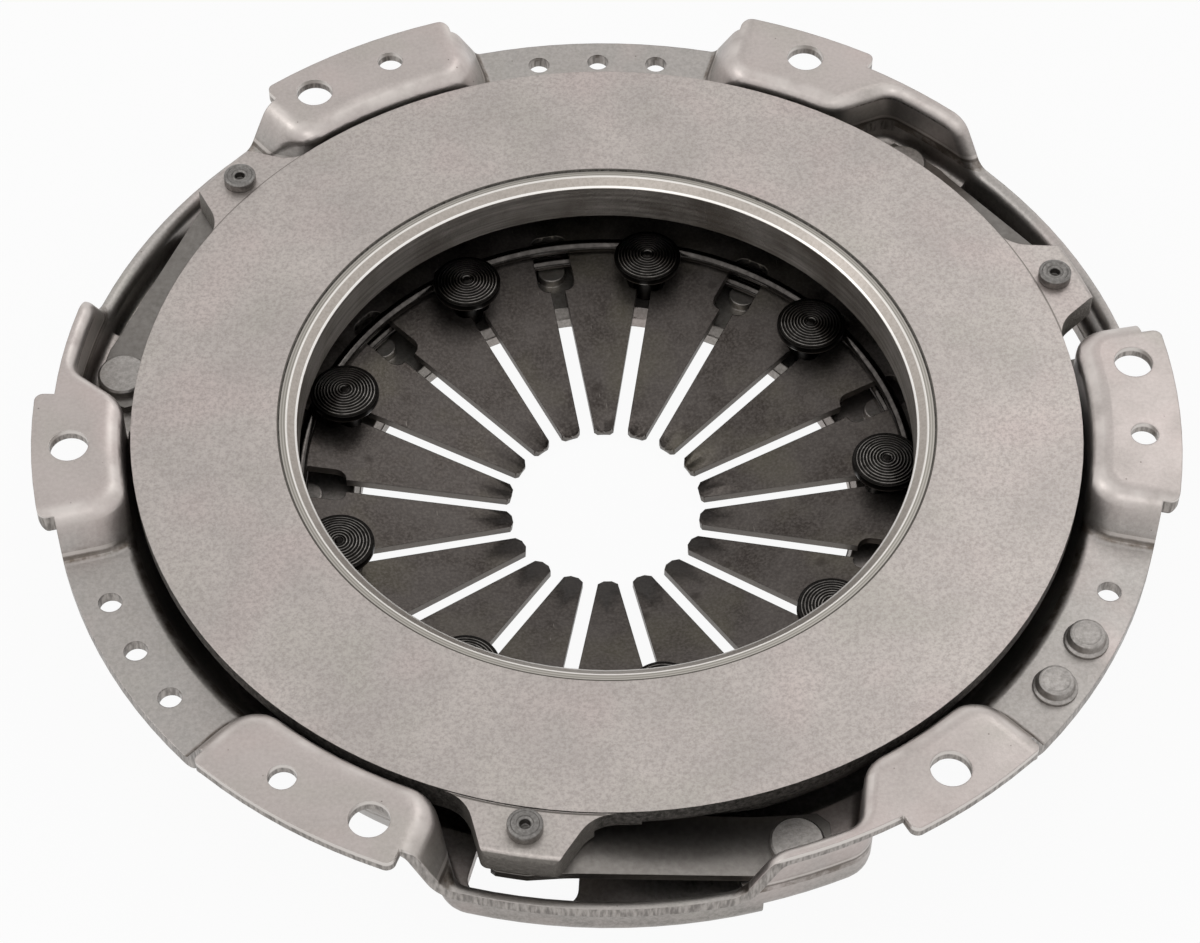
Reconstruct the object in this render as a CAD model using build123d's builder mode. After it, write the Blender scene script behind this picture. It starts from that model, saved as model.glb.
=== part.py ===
from build123d import *
import os
from math import atan2, cos, degrees, hypot, inf, radians, sin, sqrt, tan

# Clutch pressure plate (clutch cover assembly) for a 215 mm friction disc.
# Millimetres and degrees. The origin is the centre of the bolt circle in the plane of the
# bolt pads, +Z points at the flywheel, and the first dowel pad lies on +X.
# The assembly repeats three times round +Z, so each angle is given for the first third.

os.makedirs("parts", exist_ok=True)

# ---------------------------------------------------------------- driving dimensions
thirds = 3
third_angle = 360 / thirds

# bolt circle and flange
bolt_circle_r = 121.0
bolt_hole_r = 4.4
dowel_pad_at = 0.0
plain_pad_at = 60.0
dowel_at = -10.0
dowel_hole_r = 3.1
sheet = 3.0
low_flange_z = -10.5
low_rim_z = -11.6
pad_edge_r = bolt_circle_r + 8.35
low_flange_edge_r = bolt_circle_r + 4.9
rim_edge_r = bolt_circle_r + 4.0
edge_corner_r = 2.0
balance_hole_r = 2.6
balance_circle_r = bolt_circle_r - 1.8
balance_hole_angles = (17.9, 24.9, 32.0)
balance_rivet_angles = (-42.1, -35.1)

# raised stretches of the flange: first and last crest of each, from the pad's own bolt
plain_pad_crests = (-20.2, 8.6)
dowel_pad_crests = (-18.4, 5.2)
ramp_slope = 60.0
crest_r = 6.0
low_flange_foot_r = 2.0
low_rim_foot_r = 4.0
pad_inner_r = bolt_circle_r - 10.4
pad_corner_r = 7.0

# outer edges of the pads, from the pad's own bolt
plain_pad_ends = (-7.0, 8.6)
dowel_pad_ends = (-18.2, 4.0)

# bowl
wall_r = bolt_circle_r - 11.8
wall_drop = 12.0
floor_r = wall_r - 9.6
floor_z = -34.0
floor_bend_r = 5.0
bend_r = 3.0

# pressed-out windows for the straps and lugs, in the first third
window_r = rim_edge_r - 3.2
window_ends = (9.0, 49.1)
window_mouth = (4.3, 53.4)
window_root_r = 9.0
window_corner_r = 5.0
shelf_from = 37.5
shelf_z = -17.0
well_z = -20.0
well_bend_r = 2.0
cutout_angles = (9.3, 20.9)
cutout_inner_r = window_r - 25.3
cutout_outer_r = window_r - 2.2
cutout_corner_r = 4.0

# rolled lip round the spring
lip_r = 57.7
lip_z = -36.95
trough_r = 76.0
seat_rise = 2.15
lip_knee_r = 57.9
floor_knee_r = 59.0
boss_width = 6.6
boss_inner_r = 66.3
boss_outer_r = 73.5
first_boss_at = 15.0

# diaphragm spring
fingers = 18
first_slot_at = 15.0
spring_tip_r = 22.26
spring_edge_r = wall_r - 11.2
spring_tip_z = -37.7
spring_pivot_z = -27.05
spring_thickness = 2.0
slot_width = 3.5
keyhole_width = 9.0
keyhole_inner_r = 60.5
keyhole_outer_r = 75.5
keyhole_corner_r = 2.6
finger_bevel = 1.0

# pivot rings and fulcrum rivets
pivot_r = 71.0
wire_r = 1.5
seat_gap = 0.03
rivet_circle_r = 65.0
first_rivet_at = 35.0
rivet_count = 9
rivet_head_r = 8.1
rivet_rim = 2.4
rivet_edge = 0.6
rivet_dome = 0.8
rivet_shank_r = 3.25
rivet_tail_r = 4.0
rivet_tail = 1.5
hole_clearance = 0.05

# pressure plate
face_r = wall_r - 1.7
face_z = -2.1
face_inner_r = 74.4
face_step = 0.45
step_r = 72.6
bore_r = 70.3
bore_chamfer = 1.8
bore_z = -14.0
edge_z = -5.5
back_edge_r = face_r - 3.5
back_edge_z = -14.0
ridge_r = spring_edge_r - 4.0
ridge_nose_r = 2.2
ridge_gap = 0.15
ridge_inner_r = ridge_r - 5.5
web_z = -15.0
lug_at = 15.17
lug_z = -2.6
lug_thickness = 6.6
lug_edge_r = window_r - 2.5
lug_edge_half = 8.0
lug_root_half = 14.4
lug_root_x = face_r - 3.0
lug_fillet_r = 9.0
lug_corner_r = 2.0
lug_round_r = 2.0
lug_band = 12.5

# drive straps
leaves = 3
leaf_thickness = 0.66
strap_width = 14.5
strap_end = 7.5
strap_corner = 2.5
strap_wall_gap = 0.2
strap_bend_r = 30.0
strap_flat = 8.5
cover_rivet_at = 44.25
cover_rivet_circle_r = window_r - 7.7
cover_rivet_head_r = 5.8
cover_rivet_head = 1.9
lug_rivet_circle_r = lug_edge_r - 6.8
lug_rivet_head_r = 3.8
lug_rivet_head = 2.44
lug_rivet_bore_r = 1.12
lug_rivet_bore = 2.2
strap_rivet_shank_r = 3.2
strap_rivet_tail_r = 5.2
strap_rivet_tail = 1.6
strap_relief_gap = 1.4
strap_relief_z = -7.0

# balance rivets
balance_head_base_r = 4.95
balance_head_top_r = 3.9
balance_head = 3.0
balance_tail_r = 4.4
balance_tail = 1.4

# ---------------------------------------------------------------- derived places
stack = leaves * leaf_thickness
lug_under_z = lug_z - lug_thickness
shelf_strap_z = shelf_z + stack
cone_slope = (spring_pivot_z - spring_tip_z) / (pivot_r - spring_tip_r)
cone_angle = degrees(atan2(cone_slope, 1))
wire_lift = wire_r / cos(radians(cone_angle)) + seat_gap
spring_depth = spring_thickness / cos(radians(cone_angle))
plate_ring_z = spring_pivot_z + wire_lift
cover_ring_z = spring_pivot_z - spring_depth - wire_lift
ring_seat_z = cover_ring_z - wire_r - seat_gap
trough_z = ring_seat_z - seat_rise
boss_length = boss_outer_r - boss_inner_r
ridge_outer_r = ridge_r + (ridge_r - ridge_inner_r)
strap_pitch = sqrt(
    cover_rivet_circle_r**2
    + lug_rivet_circle_r**2
    - 2 * cover_rivet_circle_r * lug_rivet_circle_r * cos(radians(cover_rivet_at - lug_at))
)
relief_half = strap_width / 2 + strap_relief_gap
trough_from_r = trough_r + 2.5
form_inner_r = wall_r - 12
form_outer_r = pad_edge_r + 8
form_depth = 60.0
ramp_overlap = 6.0
levels_wall_gap = 1.0
mouth_reach = 6.0
well_reach = 20.0


def polar(radius, angle):
    """Point at a radius and an angle from +X."""
    return (radius * cos(radians(angle)), radius * sin(radians(angle)))


def spring_top(radius):
    """Height of the spring's upper face at a radius."""
    return spring_pivot_z + (radius - pivot_r) * cone_slope


def strap_origin(k):
    """Centre of a strap's rivet on the cover."""
    return (*polar(cover_rivet_circle_r, cover_rivet_at + k * third_angle), 0)


def strap_along(k):
    """Unit direction of a strap in plan, from the cover's rivet to the lug's."""
    end = polar(lug_rivet_circle_r, lug_at + k * third_angle)
    start = strap_origin(k)
    return ((end[0] - start[0]) / strap_pitch, (end[1] - start[1]) / strap_pitch, 0)


def sector(inner, outer, start, end):
    """Ring sector between two radii and two angles."""
    with BuildSketch() as ring:
        with BuildLine():
            CenterArc((0, 0), outer, start, end - start)
            Line(polar(outer, end), polar(inner, end))
            CenterArc((0, 0), inner, start, end - start)
            Line(polar(inner, start), polar(outer, start))
        make_face()
    return ring.sketch


def beyond(near, far, reach):
    """Point on the line from far to near, carried on past near by a length."""
    length = hypot(near[0] - far[0], near[1] - far[1])
    return tuple(n + (n - f) * reach / length for n, f in zip(near, far))


def corner_at(sketch, radius, angle):
    """Vertices of the open sketch at a radius and at an angle in each third."""
    spots = [polar(radius, angle + k * third_angle) for k in range(thirds)]
    return sketch.vertices().filter_by(
        lambda v: any(hypot(v.X - x, v.Y - y) < 0.5 for x, y in spots)
    )


def at_height(level, inner=0.0, outer=inf):
    """Test for edges that lie at one height, with their middles between two radii."""
    return lambda edge: (
        max(abs((edge @ share).Z - level) for share in (0, 0.5, 1)) < 0.01
        and inner < hypot((edge @ 0.5).X, (edge @ 0.5).Y) < outer
    )


def raised_stretch(first, last, inset):
    """Raised stretch of the flange between two crests, sloping down on every side.

    inset moves each face inwards by the sheet, for the form that shapes the underside.
    """
    base_z = low_rim_z - ramp_overlap
    rise = -inset - base_z
    crest_shift = inset * tan(radians(ramp_slope / 2))
    with BuildSketch() as crest_line:
        add(sector(pad_inner_r, form_outer_r, first, last))
        inner_corners = crest_line.vertices().filter_by(
            lambda v: hypot(v.X, v.Y) < pad_inner_r + 1
        )
        fillet(inner_corners, pad_corner_r)
    with BuildPart() as stretch:
        with BuildSketch(Plane.XY.offset(base_z)):
            add(crest_line.sketch)
            offset(amount=rise / tan(radians(ramp_slope)) - crest_shift, kind=Kind.INTERSECTION)
        extrude(amount=rise, taper=90 - ramp_slope)
    return stretch.part


def flange_levels(inset):
    """Solid under the flange: two low levels and the raised stretches that stand on them."""
    with BuildPart() as levels:
        with BuildSketch(Plane.XY.offset(low_flange_z - inset)):
            Circle(form_outer_r)
        extrude(amount=-form_depth)
        for k in range(thirds):
            low_from = dowel_pad_at + dowel_pad_crests[1] + k * third_angle
            low_to = plain_pad_at + plain_pad_crests[0] + k * third_angle
            with BuildSketch(Plane.XY.offset(low_rim_z - inset)):
                add(sector(form_inner_r, form_outer_r + 1, low_from, low_to))
            extrude(amount=form_depth, mode=Mode.SUBTRACT)
        for k in range(thirds):
            for bolt_at, crests in (
                (plain_pad_at + k * third_angle, plain_pad_crests),
                (dowel_pad_at + k * third_angle, dowel_pad_crests),
            ):
                add(raised_stretch(bolt_at + crests[0], bolt_at + crests[1], inset))
        inner_r = wall_r - levels_wall_gap + inset
        with BuildSketch(Plane.XY.offset(low_rim_z - inset - 1)):
            Circle(inner_r)
        extrude(amount=form_depth, mode=Mode.SUBTRACT)
        in_flange = (inner_r + 0.1, form_outer_r - 0.1)
        flange_feet = levels.edges().filter_by(at_height(low_flange_z - inset, *in_flange))
        fillet(flange_feet, low_flange_foot_r + inset)
        rim_feet = levels.edges().filter_by(at_height(low_rim_z - inset, *in_flange))
        fillet(rim_feet, low_rim_foot_r + inset)
        crests_around = levels.edges().filter_by(at_height(-inset, inner_r, pad_edge_r))
        fillet(crests_around, crest_r - inset)
    return levels.part


def window_outline(reach):
    """Plan of the three windows, their slanted ends carried on into the bowl."""
    with BuildSketch() as outline:
        for k in range(thirds):
            turn = k * third_angle
            outer = [polar(window_r, a + turn) for a in window_ends]
            inner = [polar(wall_r, a + turn) for a in window_mouth]
            with BuildLine():
                CenterArc((0, 0), window_r, window_ends[0] + turn, window_ends[1] - window_ends[0])
                Polyline(
                    outer[1],
                    beyond(inner[1], outer[1], reach),
                    beyond(inner[0], outer[0], reach),
                    outer[0],
                )
            make_face()
    return outline.sketch


def well(outline, start, end, level, inset):
    """Hollow of a window's outline between two angles, bent round at its floor."""
    with BuildPart() as block:
        with BuildSketch():
            add(outline)
            add(sector(form_inner_r, form_outer_r, start, end), mode=Mode.INTERSECT)
        extrude(amount=level)
        floor_edges = block.edges().filter_by(at_height(level, form_inner_r + 2))
        cuts = (polar(window_r, start), polar(window_r, end))
        rounded = floor_edges.filter_by(
            lambda e: all(abs(x * (e @ 0.5).Y - y * (e @ 0.5).X) > 1 for x, y in cuts)
        )
        fillet(rounded, well_bend_r + inset)
    return block.part


def wells(outline, inset):
    """The two floors of each window, as one hollow of the window's outline."""
    step_shift = degrees(inset / window_r)
    with BuildPart() as hollows:
        for k in range(thirds):
            turn = k * third_angle
            add(well(outline, turn, shelf_from + step_shift + turn, well_z - inset, inset))
            add(well(outline, shelf_from + turn, 60 + turn, shelf_z - inset, inset))
    return hollows.part


def mouth_depth(inset):
    """Depth at which the bowl's straight wall turns into its cone, on either face."""
    return wall_drop + inset * tan(atan2(wall_r - floor_r, -floor_z - wall_drop) / 2)


def bowl_section(inset):
    """Half section of the bowl's hollow below its straight wall, in the XZ plane."""
    with BuildSketch(Plane.XZ) as section:
        with BuildLine():
            Polyline(
                (0, -wall_drop),
                (wall_r, -wall_drop),
                (floor_r, floor_z),
                (trough_from_r, floor_z),
                (trough_r, trough_z),
                (floor_knee_r, trough_z),
                (lip_knee_r, lip_z),
                (0, lip_z),
                close=True,
            )
        make_face()
        if inset:
            offset(amount=inset, kind=Kind.INTERSECTION)
            with Locations((-form_outer_r / 2, floor_z)):
                Rectangle(form_outer_r, form_depth * 2, mode=Mode.SUBTRACT)
            with Locations((0, form_depth - mouth_depth(inset))):
                Rectangle(form_outer_r * 2, form_depth * 2, mode=Mode.SUBTRACT)
    return section.sketch


# ---------------------------------------------------------------- cover
# The sheet is what lies between two forms, one for each face. Each form is the flange's
# levels less the hollow of the bowl and its windows, and they are one sheet apart.
with BuildSketch() as mouth:
    Circle(wall_r)
    add(window_outline(mouth_reach))
    fillet(corner_at(mouth, wall_r, window_mouth[0]), window_root_r)
    fillet(corner_at(mouth, wall_r, window_mouth[1]), window_root_r)
    fillet(corner_at(mouth, window_r, window_ends[0]), window_corner_r)
    fillet(corner_at(mouth, window_r, window_ends[1]), window_corner_r)
with BuildSketch() as window:
    add(window_outline(well_reach))
    fillet(corner_at(window, window_r, window_ends[0]), window_corner_r)
    fillet(corner_at(window, window_r, window_ends[1]), window_corner_r)
with BuildSketch() as mouth_outside:
    add(mouth.sketch)
    offset(amount=sheet)
with BuildSketch() as window_outside:
    add(window.sketch)
    offset(amount=sheet)

mouth_line = mouth.sketch.wires()[0]


def on_mouth(edge):
    """Whether an edge of the flange runs along the mouth of the bowl and its windows."""
    middle = edge @ 0.5
    flat = Vector(middle.X, middle.Y, 0)
    return middle.Z > low_rim_z - 0.1 and mouth_line.distance_to(flat) < 0.01


with BuildPart() as hollow:
    revolve(bowl_section(0), axis=Axis.Z)
    fillet(hollow.edges().filter_by(at_height(floor_z, floor_r - 5)), floor_bend_r)
    with BuildSketch(Plane.XY.offset(1)):
        add(mouth.sketch)
    extrude(amount=-1 - mouth_depth(0))
    add(wells(window.sketch, 0))

with BuildPart() as hollow_outside:
    revolve(bowl_section(sheet), axis=Axis.Z)
    fillet(
        hollow_outside.edges().filter_by(at_height(floor_z - sheet, floor_r - 5)),
        floor_bend_r + sheet,
    )
    with BuildSketch(Plane.XY.offset(1)):
        add(mouth_outside.sketch)
    extrude(amount=-1 - mouth_depth(sheet))
    add(wells(window_outside.sketch, sheet))

with BuildPart() as under_form:
    add(flange_levels(sheet))
    add(hollow_outside.part, mode=Mode.SUBTRACT)

with BuildPart() as cover:
    add(flange_levels(0))
    with BuildSketch(Plane.XY.offset(1)) as edge:
        Circle(rim_edge_r)
        for k in range(thirds):
            turn = k * third_angle
            low_from = plain_pad_at + turn
            low_to = dowel_pad_at + third_angle + turn
            add(sector(wall_r, low_flange_edge_r, low_from, low_to))
            for pad_at, ends in (
                (plain_pad_at, plain_pad_ends),
                (dowel_pad_at, dowel_pad_ends),
            ):
                add(sector(wall_r, pad_edge_r, pad_at + ends[0] + turn, pad_at + ends[1] + turn))
        corners = edge.vertices().filter_by(lambda v: hypot(v.X, v.Y) > pad_edge_r - 0.1)
        fillet(corners, edge_corner_r)
    extrude(amount=-form_depth, mode=Mode.INTERSECT)
    add(hollow.part, mode=Mode.SUBTRACT)
    fillet(cover.edges().filter_by(on_mouth), bend_r)
    add(under_form.part, mode=Mode.SUBTRACT)
    # cut-outs under the plate's lugs, through the wells' floors and the bowl beside them
    with BuildSketch(Plane.XY.offset(well_z + well_bend_r)) as cutouts:
        for k in range(thirds):
            first, last = (angle + k * third_angle for angle in cutout_angles)
            add(sector(cutout_inner_r, cutout_outer_r, first, last))
        fillet(corner_at(cutouts, cutout_inner_r, cutout_angles[0]), cutout_corner_r)
        fillet(corner_at(cutouts, cutout_inner_r, cutout_angles[1]), cutout_corner_r)
        fillet(corner_at(cutouts, cutout_outer_r, cutout_angles[0]), cutout_corner_r)
        fillet(corner_at(cutouts, cutout_outer_r, cutout_angles[1]), cutout_corner_r)
    extrude(amount=-form_depth, mode=Mode.SUBTRACT)
    # bolt, dowel and balancing holes in the flange, rivet holes in the shelves and the floor
    with BuildSketch(Plane.XY.offset(1)):
        with PolarLocations(bolt_circle_r, thirds * 2, start_angle=dowel_pad_at):
            Circle(bolt_hole_r)
        with PolarLocations(bolt_circle_r, thirds, start_angle=dowel_at):
            Circle(dowel_hole_r)
        for angle in balance_hole_angles:
            with PolarLocations(balance_circle_r, thirds, start_angle=plain_pad_at + angle):
                Circle(balance_hole_r)
        with PolarLocations(cover_rivet_circle_r, thirds, start_angle=cover_rivet_at):
            Circle(strap_rivet_shank_r + hole_clearance)
        with PolarLocations(rivet_circle_r, rivet_count, start_angle=first_rivet_at):
            Circle(rivet_shank_r + hole_clearance)
        Circle(lip_r)
    extrude(amount=-form_depth, mode=Mode.SUBTRACT)
    # pressed bosses that carry the cover-side pivot ring between the rivets
    with BuildSketch(Plane.XY.offset(trough_z - sheet / 2)):
        with PolarLocations(boss_outer_r - boss_length / 2, rivet_count, start_angle=first_boss_at):
            RectangleRounded(boss_length, boss_width, boss_width / 2 - 0.1)
    extrude(amount=ring_seat_z - trough_z + sheet / 2)
cover.part.label = "cover"
export_step(cover.part, "parts/cover.step")

# ---------------------------------------------------------------- pressure plate
with BuildPart() as pressure_plate:
    with BuildSketch(Plane.XZ):
        with BuildLine():
            Polyline(
                (face_inner_r, face_z),
                (face_inner_r - 0.2, face_z - face_step),
                (step_r, face_z - face_step),
                (bore_r, face_z - face_step - bore_chamfer),
                (bore_r, bore_z),
                (ridge_inner_r - 4, web_z),
                (ridge_inner_r, web_z - 2),
                (ridge_r - ridge_nose_r, spring_top(ridge_r - ridge_nose_r) + ridge_gap),
                (ridge_r + ridge_nose_r, spring_top(ridge_r + ridge_nose_r) + ridge_gap),
                (ridge_outer_r, web_z - 2),
                (back_edge_r, back_edge_z),
                (face_r, edge_z),
                (face_r, face_z),
                close=True,
            )
        make_face()
    revolve(axis=Axis.Z)
    # lugs for the drive straps, blended into a full-height band of the rim
    with BuildSketch(Plane.XY.offset(lug_z)) as lugs:
        Circle(face_r)
        with PolarLocations(0, thirds, start_angle=lug_at):
            Polygon(
                (lug_root_x, lug_root_half),
                (lug_root_x, -lug_root_half),
                (lug_edge_r, -lug_edge_half),
                (lug_edge_r, lug_edge_half),
                align=None,
            )
        Circle(lug_edge_r, mode=Mode.INTERSECT)
        roots = lugs.vertices().filter_by(
            lambda v: abs(hypot(v.X, v.Y) - face_r) < 0.01 and hypot(v.X - face_r, v.Y) > 0.1
        )
        fillet(roots, lug_fillet_r)
        tips = lugs.vertices().filter_by(lambda v: abs(hypot(v.X, v.Y) - lug_edge_r) < 0.01)
        fillet(tips, lug_corner_r)
        for k in range(thirds):
            middle = lug_at + k * third_angle
            add(
                sector(back_edge_r - 6, form_outer_r, middle + lug_band, middle + third_angle - lug_band),
                mode=Mode.SUBTRACT,
            )
        Circle(back_edge_r - 6, mode=Mode.SUBTRACT)
    extrude(amount=-lug_thickness)
    # rounded upper edge along the lugs' ends
    with BuildSketch(Plane.XZ):
        with Locations((lug_edge_r - lug_round_r, lug_z - lug_round_r)):
            Rectangle(lug_round_r * 2, lug_round_r * 2, align=(Align.MIN, Align.MIN))
            Circle(lug_round_r, mode=Mode.SUBTRACT)
    revolve(axis=Axis.Z, mode=Mode.SUBTRACT)
    # room under the rim for the straps, deeper where they lie against the lugs
    for k in range(thirds):
        cut_plane = Plane(origin=strap_origin(k), x_dir=strap_along(k), z_dir=(0, 0, 1))
        with BuildSketch(cut_plane.offset(strap_relief_z)):
            with BuildLine():
                Polyline(
                    (-strap_end - strap_relief_gap * 3, -relief_half),
                    (strap_pitch - lug_root_half, -relief_half),
                    (strap_pitch - lug_root_half, face_r),
                    (-strap_end - strap_relief_gap * 3, face_r),
                    close=True,
                )
            make_face()
        extrude(amount=-form_depth, mode=Mode.SUBTRACT)
        with BuildSketch(cut_plane.offset(lug_under_z)):
            with BuildLine():
                Polyline(
                    (strap_pitch - lug_root_half - 1, -relief_half),
                    (strap_pitch + strap_end + strap_relief_gap, -relief_half),
                    (strap_pitch + strap_end + strap_relief_gap, face_r),
                    (strap_pitch - lug_root_half - 1, face_r),
                    close=True,
                )
            make_face()
        extrude(amount=-form_depth, mode=Mode.SUBTRACT)
    with BuildSketch(Plane.XY.offset(1)):
        with PolarLocations(lug_rivet_circle_r, thirds, start_angle=lug_at):
            Circle(strap_rivet_shank_r + hole_clearance)
    extrude(amount=-form_depth / 2, mode=Mode.SUBTRACT)
pressure_plate.part.label = "pressure_plate"
export_step(pressure_plate.part, "parts/pressure_plate.step")


# ---------------------------------------------------------------- diaphragm spring
def square_off(radius, drop):
    """Point on the spring's section, square below its upper face by a thickness."""
    return (
        radius + drop * sin(radians(cone_angle)),
        spring_top(radius) - drop * cos(radians(cone_angle)),
    )


with BuildPart() as diaphragm_spring:
    with BuildSketch(Plane.XZ):
        with BuildLine():
            Polyline(
                square_off(spring_tip_r, 0),
                square_off(spring_edge_r, 0),
                square_off(spring_edge_r, spring_thickness),
                square_off(spring_tip_r, spring_thickness),
                close=True,
            )
        make_face()
    revolve(axis=Axis.Z)
    with BuildSketch(Plane.XY.offset(spring_pivot_z + form_depth / 2)) as slots:
        with PolarLocations(keyhole_inner_r / 2, fingers, start_angle=first_slot_at):
            Rectangle(keyhole_inner_r, slot_width)
        with PolarLocations(0, fingers, start_angle=first_slot_at):
            Polygon(
                (spring_tip_r - finger_bevel, slot_width / 2 + finger_bevel * 2),
                (spring_tip_r - finger_bevel, -slot_width / 2 - finger_bevel * 2),
                (spring_tip_r + finger_bevel, -slot_width / 2),
                (spring_tip_r + finger_bevel, slot_width / 2),
                align=None,
            )
        with PolarLocations(
            (keyhole_inner_r + keyhole_outer_r) / 2, fingers, start_angle=first_slot_at
        ):
            RectangleRounded(keyhole_outer_r - keyhole_inner_r, keyhole_width, keyhole_corner_r)
    extrude(amount=-form_depth * 1.5, mode=Mode.SUBTRACT)
diaphragm_spring.part.label = "diaphragm_spring"
export_step(diaphragm_spring.part, "parts/diaphragm_spring.step")

# ---------------------------------------------------------------- pivot rings
for ring_name, ring_z in (("plate_side_ring", plate_ring_z), ("cover_side_ring", cover_ring_z)):
    with BuildPart() as ring:
        with BuildSketch(Plane.XZ):
            with Locations((pivot_r, ring_z)):
                Circle(wire_r)
        revolve(axis=Axis.Z)
    ring.part.label = ring_name
    export_step(ring.part, f"parts/{ring_name}.step")


def turned(place, outline):
    """Rivet turned about its own upright axis at a place in plan, from its half outline."""
    with BuildPart() as rivet:
        with BuildSketch(Plane.XZ):
            with BuildLine():
                Polyline(*outline, close=True)
            make_face()
        revolve(axis=Axis.Z)
    return Pos(place[0], place[1], 0) * rivet.part


# ---------------------------------------------------------------- rivets
rivet_under_z = plate_ring_z + wire_r + seat_gap
rivet_floor_z = trough_z - sheet - seat_gap
fulcrum_outline = (
    (0, rivet_under_z + rivet_rim + rivet_dome),
    (rivet_head_r * 0.45, rivet_under_z + rivet_rim + rivet_dome * 0.85),
    (rivet_head_r * 0.75, rivet_under_z + rivet_rim + rivet_dome * 0.4),
    (rivet_head_r - rivet_edge, rivet_under_z + rivet_rim),
    (rivet_head_r, rivet_under_z + rivet_rim - rivet_edge),
    (rivet_head_r, rivet_under_z + rivet_edge),
    (rivet_head_r - rivet_edge, rivet_under_z),
    (rivet_shank_r, rivet_under_z),
    (rivet_shank_r, rivet_floor_z),
    (rivet_tail_r, rivet_floor_z),
    (rivet_tail_r * 0.7, rivet_floor_z - rivet_tail),
    (0, rivet_floor_z - rivet_tail),
)
for k in range(rivet_count):
    name = f"fulcrum_rivet_{k + 1}"
    place = polar(rivet_circle_r, first_rivet_at + k * 360 / rivet_count)
    rivet = turned(place, fulcrum_outline)
    rivet.label = name
    export_step(rivet, f"parts/{name}.step")

cover_rivet_outline = (
    (0, shelf_strap_z + cover_rivet_head),
    (cover_rivet_head_r - 0.5, shelf_strap_z + cover_rivet_head),
    (cover_rivet_head_r, shelf_strap_z + cover_rivet_head - 0.5),
    (cover_rivet_head_r, shelf_strap_z),
    (strap_rivet_shank_r, shelf_strap_z),
    (strap_rivet_shank_r, shelf_z - sheet),
    (strap_rivet_tail_r, shelf_z - sheet),
    (strap_rivet_tail_r * 0.75, shelf_z - sheet - strap_rivet_tail),
    (0, shelf_z - sheet - strap_rivet_tail),
)
lug_rivet_outline = (
    (0, lug_z + lug_rivet_head - lug_rivet_bore),
    (lug_rivet_bore_r, lug_z + lug_rivet_head - lug_rivet_bore),
    (lug_rivet_bore_r, lug_z + lug_rivet_head),
    (lug_rivet_head_r - 0.3, lug_z + lug_rivet_head),
    (lug_rivet_head_r, lug_z + lug_rivet_head - 0.3),
    (lug_rivet_head_r, lug_z),
    (strap_rivet_shank_r, lug_z),
    (strap_rivet_shank_r, lug_under_z - stack),
    (strap_rivet_tail_r, lug_under_z - stack),
    (strap_rivet_tail_r * 0.75, lug_under_z - stack - strap_rivet_tail),
    (0, lug_under_z - stack - strap_rivet_tail),
)
for k in range(thirds):
    for name, outline, circle_r, angle in (
        (f"strap_cover_rivet_{k + 1}", cover_rivet_outline, cover_rivet_circle_r, cover_rivet_at),
        (f"strap_lug_rivet_{k + 1}", lug_rivet_outline, lug_rivet_circle_r, lug_at),
    ):
        rivet = turned(polar(circle_r, angle + k * third_angle), outline)
        rivet.label = name
        export_step(rivet, f"parts/{name}.step")

balance_outline = (
    (0, low_flange_z + balance_head),
    (balance_head_top_r, low_flange_z + balance_head),
    (balance_head_base_r, low_flange_z),
    (balance_hole_r - hole_clearance, low_flange_z),
    (balance_hole_r - hole_clearance, low_flange_z - sheet),
    (balance_tail_r, low_flange_z - sheet),
    (balance_tail_r * 0.8, low_flange_z - sheet - balance_tail),
    (0, low_flange_z - sheet - balance_tail),
)
for number, angle in enumerate(balance_rivet_angles, 1):
    rivet = turned(polar(balance_circle_r, angle), balance_outline)
    rivet.label = f"balance_rivet_{number}"
    export_step(rivet, f"parts/balance_rivet_{number}.step")

# ---------------------------------------------------------------- drive straps
def strap_line(top_z):
    """Upper face of one leaf in side view: flat on the cover's shelf, up to the lug, flat."""
    rise = lug_under_z - shelf_strap_z
    return (
        (-strap_end, top_z),
        (strap_flat, top_z),
        (strap_pitch - strap_flat, top_z + rise),
        (strap_pitch + strap_end, top_z + rise),
    )


for k in range(thirds):
    side_plane = Plane(
        origin=strap_origin(k),
        x_dir=strap_along(k),
        z_dir=Vector(*strap_along(k)).cross(Vector(0, 0, 1)),
    )
    plan_plane = Plane(origin=strap_origin(k), x_dir=strap_along(k), z_dir=(0, 0, 1))
    for n in range(leaves):
        top_z = shelf_strap_z - n * leaf_thickness
        upper = strap_line(top_z)
        lower = strap_line(top_z - leaf_thickness)
        with BuildPart() as leaf:
            with BuildSketch(side_plane):
                with BuildLine():
                    FilletPolyline(*upper, radius=strap_bend_r)
                    Line(upper[-1], lower[-1])
                    FilletPolyline(*lower, radius=strap_bend_r)
                    Line(lower[0], upper[0])
                make_face()
            extrude(amount=strap_width / 2, both=True)
            with BuildSketch(plan_plane) as outline:
                with Locations((strap_pitch / 2, 0)):
                    Rectangle(strap_pitch + 2 * strap_end, strap_width)
                chamfer(outline.vertices(), strap_corner)
                with Locations((0, 0), (strap_pitch, 0)):
                    Circle(strap_rivet_shank_r + hole_clearance, mode=Mode.SUBTRACT)
            extrude(amount=-form_depth, mode=Mode.INTERSECT)
            with BuildSketch():
                Circle(window_r - well_bend_r - strap_wall_gap)
            extrude(amount=-form_depth, mode=Mode.INTERSECT)
        leaf.part.label = f"strap_{k + 1}_leaf_{n + 1}"
        export_step(leaf.part, f"parts/strap_{k + 1}_leaf_{n + 1}.step")
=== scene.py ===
from math import pi, radians
from types import SimpleNamespace

import bmesh
import bpy
import numpy as np
from mathutils import Matrix, Vector


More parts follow.
